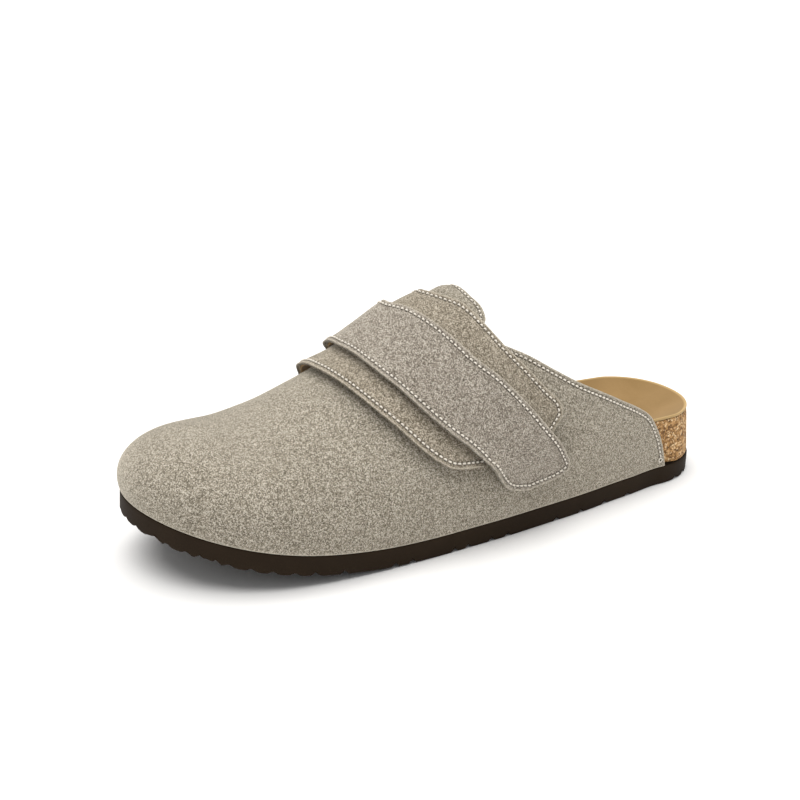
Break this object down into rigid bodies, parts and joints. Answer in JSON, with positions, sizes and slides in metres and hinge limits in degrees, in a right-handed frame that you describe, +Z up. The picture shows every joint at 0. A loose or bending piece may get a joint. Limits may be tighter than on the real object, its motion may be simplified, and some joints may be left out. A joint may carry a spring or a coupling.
{
  "type": "clog slipper",
  "caption": "Backless closed-toe clog slipper for a left foot, with a suede upper, a wide instep flap and a hook-and-loop top strap on a contoured cork footbed and a flat grooved sole.",
  "frame": {"origin": "centre of the bounding box in X and Y, on the floor plane under the sole", "axes": "+Z up, -Y towards the toe, +X towards the outer side of the left foot"},
  "size_m": [0.105, 0.2808, 0.0987],
  "materials": {
    "foam_rubber": "matt, fine skin",
    "cork": "bare pressed cork granules",
    "liner_suede": "matt brushed suede",
    "upper_suede": "matt suede nap",
    "flap_suede": "matt suede nap",
    "strap_suede": "matt suede nap"
  },
  "bodies": {
    "root": {"outsole": "foam_rubber", "footbed_cork": "cork", "footbed_liner": "liner_suede", "upper": "upper_suede", "saddle_flap": "flap_suede", "top_strap": "strap_suede"}
  },
  "joints": []
}
